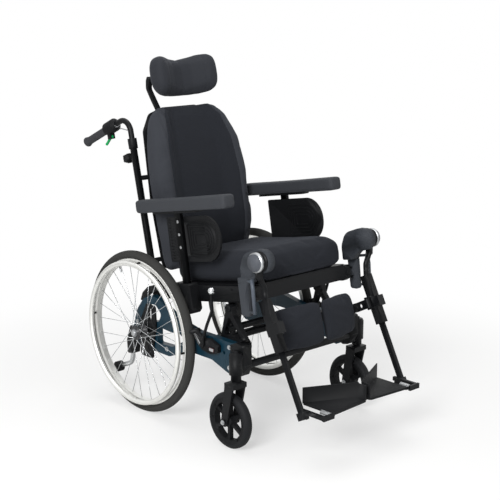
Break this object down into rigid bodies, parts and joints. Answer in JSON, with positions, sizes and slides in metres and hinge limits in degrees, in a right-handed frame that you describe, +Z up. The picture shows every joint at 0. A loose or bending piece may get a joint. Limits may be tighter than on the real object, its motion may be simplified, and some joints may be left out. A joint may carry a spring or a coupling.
{
  "type": "tilt-in-space wheelchair",
  "caption": "Attendant wheelchair with tilting seat, reclining padded back, winged headrest, height-adjustable armrests, elevating legrests with calf pads, spoked rear wheels and casters.",
  "frame": {"origin": "on the floor under the middle of the chair outline", "axes": "+Z up, the chair faces -Y, +X to the seated person's left"},
  "size_m": [0.689, 1.2968, 1.3046],
  "materials": {
    "petrol_paint": "satin",
    "black_paint": "satin",
    "bright_steel": "brushed",
    "chrome": "polished",
    "rim_aluminium": "satin",
    "black_plastic": "matt",
    "green_plastic": "gloss",
    "grip_rubber": "matt",
    "tyre_rubber": "matt",
    "cushion_fabric": "woven",
    "arm_pad_skin": "moulded grain"
  },
  "bodies": {
    "chassis": {"side_frame_right": "petrol_paint", "side_frame_left": "petrol_paint", "cross_frame": "black_paint", "tilt_towers": "black_paint", "axle_brackets": "black_paint", "wheel_axles": "bright_steel", "caster_housings": "black_paint", "brake_mounts": "black_plastic"},
    "seat": {"seat_frame": "black_paint", "seat_cushion": "cushion_fabric", "arm_sockets": "black_plastic"},
    "tilt_cylinder": {"tilt_spring_cylinder": "black_paint"},
    "tilt_rod": {"tilt_spring_rod": "chrome"},
    "back": {"back_frame": "black_paint", "back_shell": "black_plastic", "back_cushion": "cushion_fabric"},
    "recline_cylinder": {"recline_spring_cylinder": "black_paint"},
    "recline_rod": {"recline_spring_rod": "chrome"},
    "headrest_post": {"headrest_bar": "black_paint"},
    "headrest": {"headrest_pad": "cushion_fabric"},
    "handle_right": {"push_tube_right": "black_paint", "push_grip_right": "grip_rubber"},
    "release_lever_right": {"release_lever_right": "green_plastic"},
    "handle_knob_right": {"clamp_knob_right": "black_plastic"},
    "armrest_right": {"arm_post_right": "black_paint", "side_panel_right": "black_plastic", "arm_pad_right": "arm_pad_skin"},
    "rear_wheel_right": {"rear_tyre_right": "tyre_rubber", "rear_rim_right": "rim_aluminium", "wheel_spokes_right": "bright_steel", "handrim_right": "rim_aluminium"},
    "caster_fork_right": {"caster_fork_right": "black_paint"},
    "caster_wheel_right": {"caster_wheel_right": "tyre_rubber"},
    "brake_right": {"brake_lever_right": "black_paint"},
    "anti_tipper_right": {"anti_tipper_right": "bright_steel"},
    "leg_hanger_right": {"leg_hanger_right": "black_paint"},
    "leg_right": {"leg_upper_right": "black_paint"},
    "foot_tube_right": {"foot_tube_right": "black_paint"},
    "footplate_right": {"footplate_right": "black_plastic"},
    "calf_pad_right": {"calf_pad_right": "cushion_fabric"},
    "handle_left": {"push_tube_left": "black_paint", "push_grip_left": "grip_rubber"},
    "release_lever_left": {"release_lever_left": "green_plastic"},
    "handle_knob_left": {"clamp_knob_left": "black_plastic"},
    "armrest_left": {"arm_post_left": "black_paint", "side_panel_left": "black_plastic", "arm_pad_left": "arm_pad_skin"},
    "rear_wheel_left": {"rear_tyre_left": "tyre_rubber", "rear_rim_left": "rim_aluminium", "wheel_spokes_left": "bright_steel", "handrim_left": "rim_aluminium"},
    "caster_fork_left": {"caster_fork_left": "black_paint"},
    "caster_wheel_left": {"caster_wheel_left": "tyre_rubber"},
    "brake_left": {"brake_lever_left": "black_paint"},
    "anti_tipper_left": {"anti_tipper_left": "bright_steel"},
    "leg_hanger_left": {"leg_hanger_left": "black_paint"},
    "leg_left": {"leg_upper_left": "black_paint"},
    "foot_tube_left": {"foot_tube_left": "black_paint"},
    "footplate_left": {"footplate_left": "black_plastic"},
    "calf_pad_left": {"calf_pad_left": "cushion_fabric"}
  },
  "joints": [
    {"name": "seat_tilt", "type": "hinge", "parent": "chassis", "child": "seat", "pos_m": [0, -0.17917, 0.46824], "axis": [1, 0, 0], "range_deg": [-10, 10]},
    {"name": "tilt_cylinder_turn", "type": "hinge", "parent": "chassis", "child": "tilt_cylinder", "pos_m": [-0.096, -0.07439, 0.266], "axis": [1, 0, 0], "range_deg": [-12, 12]},
    {"name": "tilt_rod_slide", "type": "slide", "parent": "tilt_cylinder", "child": "tilt_rod", "axis": [0, 0.423, 0.9061], "range_m": [-0.045, 0.045]},
    {"name": "back_recline", "type": "hinge", "parent": "seat", "child": "back", "pos_m": [0, 0.2294, 0.45306], "axis": [-1, 0, 0], "range_deg": [0, 30]},
    {"name": "recline_cylinder_turn", "type": "hinge", "parent": "seat", "child": "recline_cylinder", "pos_m": [0.1, -0.02902, 0.45598], "axis": [1, 0, 0], "range_deg": [-14, 14]},
    {"name": "recline_rod_slide", "type": "slide", "parent": "recline_cylinder", "child": "recline_rod", "axis": [0, 0.9655, -0.2604], "range_m": [-0.045, 0.045]},
    {"name": "headrest_height", "type": "slide", "parent": "back", "child": "headrest_post", "axis": [0, 0.225, 0.9744], "range_m": [-0.02, 0.06]},
    {"name": "headrest_angle", "type": "hinge", "parent": "headrest_post", "child": "headrest", "pos_m": [0, 0.4257, 1.21442], "axis": [1, 0, 0], "range_deg": [-15, 15]},
    {"name": "handle_height_right", "type": "slide", "parent": "back", "child": "handle_right", "axis": [0, 0.225, 0.9744], "range_m": [-0.02, 0.12]},
    {"name": "release_lever_right", "type": "hinge", "parent": "handle_right", "child": "release_lever_right", "pos_m": [-0.23, 0.48559, 1.00143], "axis": [1, 0, 0], "range_deg": [0, 12], "stiffness_Nm_per_rad": 1.2},
    {"name": "handle_knob_right", "type": "hinge", "parent": "back", "child": "handle_knob_right", "pos_m": [-0.23, 0.37111, 0.9335], "axis": [0, 0.9744, -0.225], "range_deg": [-180, 180]},
    {"name": "armrest_height_right", "type": "slide", "parent": "seat", "child": "armrest_right", "axis": [0, 0.1736, 0.9848], "range_m": [-0.02, 0.08]},
    {"name": "rear_wheel_right", "type": "hinge", "parent": "chassis", "child": "rear_wheel_right", "pos_m": [-0.3, 0.23861, 0.305], "axis": [1, 0, 0], "continuous": true},
    {"name": "caster_swivel_right", "type": "hinge", "parent": "chassis", "child": "caster_fork_right", "pos_m": [-0.305, -0.29539, 0.29], "axis": [0, 0, 1], "continuous": true},
    {"name": "caster_roll_right", "type": "hinge", "parent": "caster_fork_right", "child": "caster_wheel_right", "pos_m": [-0.305, -0.26639, 0.1], "axis": [1, 0, 0], "continuous": true},
    {"name": "brake_right", "type": "hinge", "parent": "chassis", "child": "brake_right", "pos_m": [-0.3, -0.11239, 0.338], "axis": [-1, 0, 0], "range_deg": [0, 6]},
    {"name": "anti_tipper_turn_right", "type": "hinge", "parent": "chassis", "child": "anti_tipper_right", "pos_m": [-0.26, 0.32561, 0.262], "axis": [0, 0.1927, -0.9812], "range_deg": [0, 180]},
    {"name": "leg_swing_right", "type": "hinge", "parent": "seat", "child": "leg_hanger_right", "pos_m": [-0.25, -0.29921, 0.53612], "axis": [0, -0.1736, -0.9848], "range_deg": [0, 90]},
    {"name": "leg_elevation_right", "type": "hinge", "parent": "leg_hanger_right", "child": "leg_right", "pos_m": [-0.252, -0.37339, 0.673], "axis": [-1, 0, 0], "range_deg": [-3, 55]},
    {"name": "footrest_length_right", "type": "slide", "parent": "leg_right", "child": "foot_tube_right", "axis": [0, 0.454, 0.891], "range_m": [-0.08, 0.04]},
    {"name": "footplate_fold_right", "type": "hinge", "parent": "foot_tube_right", "child": "footplate_right", "pos_m": [-0.2, -0.61639, 0.193], "axis": [0, -1, 0], "range_deg": [0, 60]},
    {"name": "calf_pad_swing_right", "type": "hinge", "parent": "leg_right", "child": "calf_pad_right", "pos_m": [-0.221, -0.42096, 0.44854], "axis": [0, -0.454, -0.891], "range_deg": [0, 80]},
    {"name": "handle_height_left", "type": "slide", "parent": "back", "child": "handle_left", "axis": [0, 0.225, 0.9744], "range_m": [-0.02, 0.12]},
    {"name": "release_lever_left", "type": "hinge", "parent": "handle_left", "child": "release_lever_left", "pos_m": [0.23, 0.48559, 1.00143], "axis": [1, 0, 0], "range_deg": [0, 12], "stiffness_Nm_per_rad": 1.2},
    {"name": "handle_knob_left", "type": "hinge", "parent": "back", "child": "handle_knob_left", "pos_m": [0.23, 0.37111, 0.9335], "axis": [0, 0.9744, -0.225], "range_deg": [-180, 180]},
    {"name": "armrest_height_left", "type": "slide", "parent": "seat", "child": "armrest_left", "axis": [0, 0.1736, 0.9848], "range_m": [-0.02, 0.08]},
    {"name": "rear_wheel_left", "type": "hinge", "parent": "chassis", "child": "rear_wheel_left", "pos_m": [0.3, 0.23861, 0.305], "axis": [1, 0, 0], "continuous": true},
    {"name": "caster_swivel_left", "type": "hinge", "parent": "chassis", "child": "caster_fork_left", "pos_m": [0.305, -0.29539, 0.29], "axis": [0, 0, 1], "continuous": true},
    {"name": "caster_roll_left", "type": "hinge", "parent": "caster_fork_left", "child": "caster_wheel_left", "pos_m": [0.305, -0.26639, 0.1], "axis": [1, 0, 0], "continuous": true},
    {"name": "brake_left", "type": "hinge", "parent": "chassis", "child": "brake_left", "pos_m": [0.3, -0.11239, 0.338], "axis": [-1, 0, 0], "range_deg": [0, 6]},
    {"name": "anti_tipper_turn_left", "type": "hinge", "parent": "chassis", "child": "anti_tipper_left", "pos_m": [0.26, 0.32561, 0.262], "axis": [0, -0.1927, 0.9812], "range_deg": [0, 180]},
    {"name": "leg_swing_left", "type": "hinge", "parent": "seat", "child": "leg_hanger_left", "pos_m": [0.25, -0.29921, 0.53612], "axis": [0, 0.1736, 0.9848], "range_deg": [0, 90]},
    {"name": "leg_elevation_left", "type": "hinge", "parent": "leg_hanger_left", "child": "leg_left", "pos_m": [0.252, -0.37339, 0.673], "axis": [-1, 0, 0], "range_deg": [-3, 55]},
    {"name": "footrest_length_left", "type": "slide", "parent": "leg_left", "child": "foot_tube_left", "axis": [0, 0.454, 0.891], "range_m": [-0.08, 0.04]},
    {"name": "footplate_fold_left", "type": "hinge", "parent": "foot_tube_left", "child": "footplate_left", "pos_m": [0.2, -0.61639, 0.193], "axis": [0, 1, 0], "range_deg": [0, 60]},
    {"name": "calf_pad_swing_left", "type": "hinge", "parent": "leg_left", "child": "calf_pad_left", "pos_m": [0.221, -0.42096, 0.44854], "axis": [0, 0.454, 0.891], "range_deg": [0, 80]}
  ],
  "couplings": [
    {"joint": "tilt_cylinder_turn", "follows": "seat_tilt", "ratio": 0.37292},
    {"joint": "tilt_rod_slide", "follows": "seat_tilt", "m_per_rad": 0.18022},
    {"joint": "recline_cylinder_turn", "follows": "back_recline", "ratio": 0.13264},
    {"joint": "recline_rod_slide", "follows": "back_recline", "m_per_rad": -0.05762}
  ]
}
